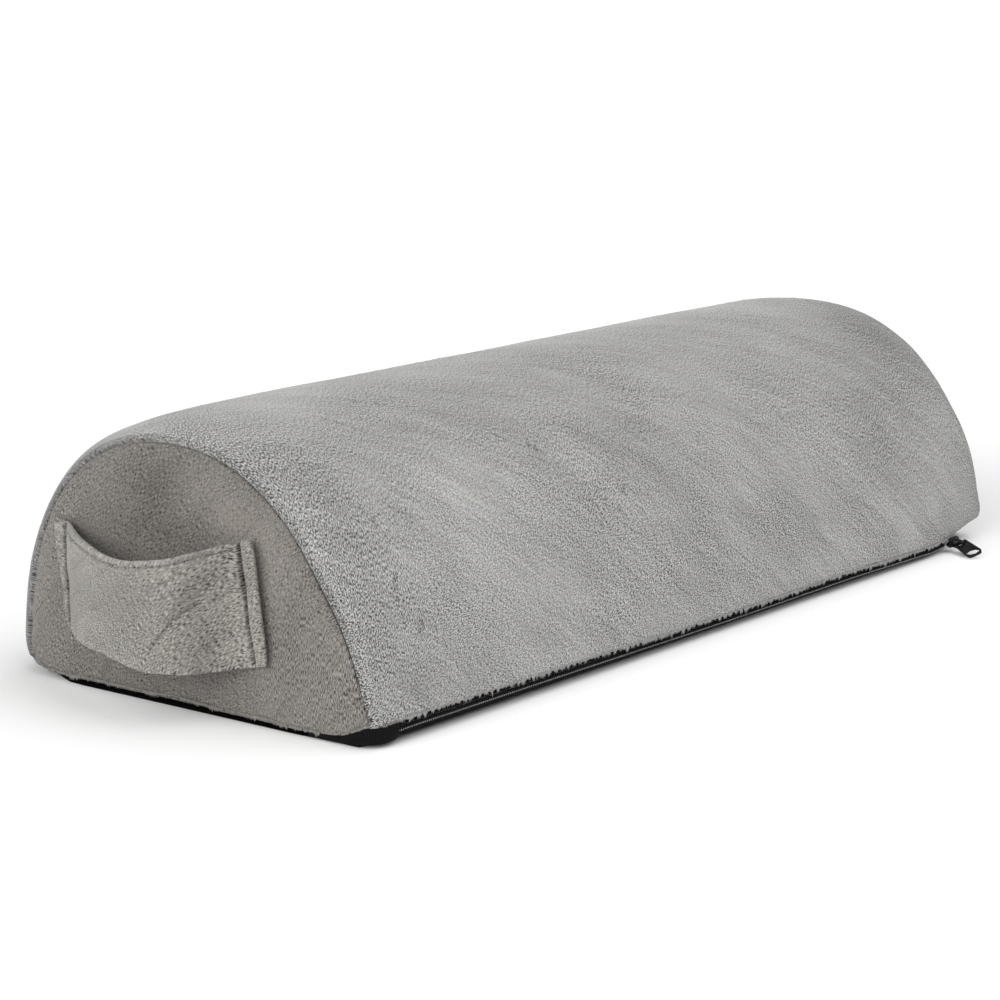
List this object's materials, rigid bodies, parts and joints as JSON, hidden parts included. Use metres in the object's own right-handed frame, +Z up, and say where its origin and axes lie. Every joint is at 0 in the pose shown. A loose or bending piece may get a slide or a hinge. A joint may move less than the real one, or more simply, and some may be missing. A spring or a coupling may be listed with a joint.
{
  "type": "half-moon footrest pillow",
  "caption": "Half-moon foam footrest pillow in short grey plush, with a flat black base, a zip along the front edge and a cloth hand strap on one end.",
  "frame": {"origin": "middle of the flat base at floor level, halfway along the length and between the long edges", "axes": "+X along the length, away from the hand strap; -Y to the zip's side; +Z up"},
  "size_m": [0.4832, 0.2096, 0.1101],
  "materials": {
    "plush": "short brushed plush pile, soft sheen",
    "plush_end": "short brushed plush pile, a little warmer",
    "base_cloth": "plain dark non-slip cloth",
    "zip_tape": "fine ribbed tape",
    "zip_nylon": "satin nylon coil",
    "zip_metal": "black enamelled zip slider"
  },
  "bodies": {
    "root": {"arch_cushion": "plush", "end_panel_left": "plush_end", "end_panel_right": "plush_end", "hand_strap": "plush", "base_panel": "base_cloth", "zip_tape_upper": "zip_tape", "zip_tape_lower": "zip_tape", "zip_coil": "zip_nylon", "zip_slider": "zip_metal", "zip_pull": "zip_metal"}
  },
  "joints": []
}
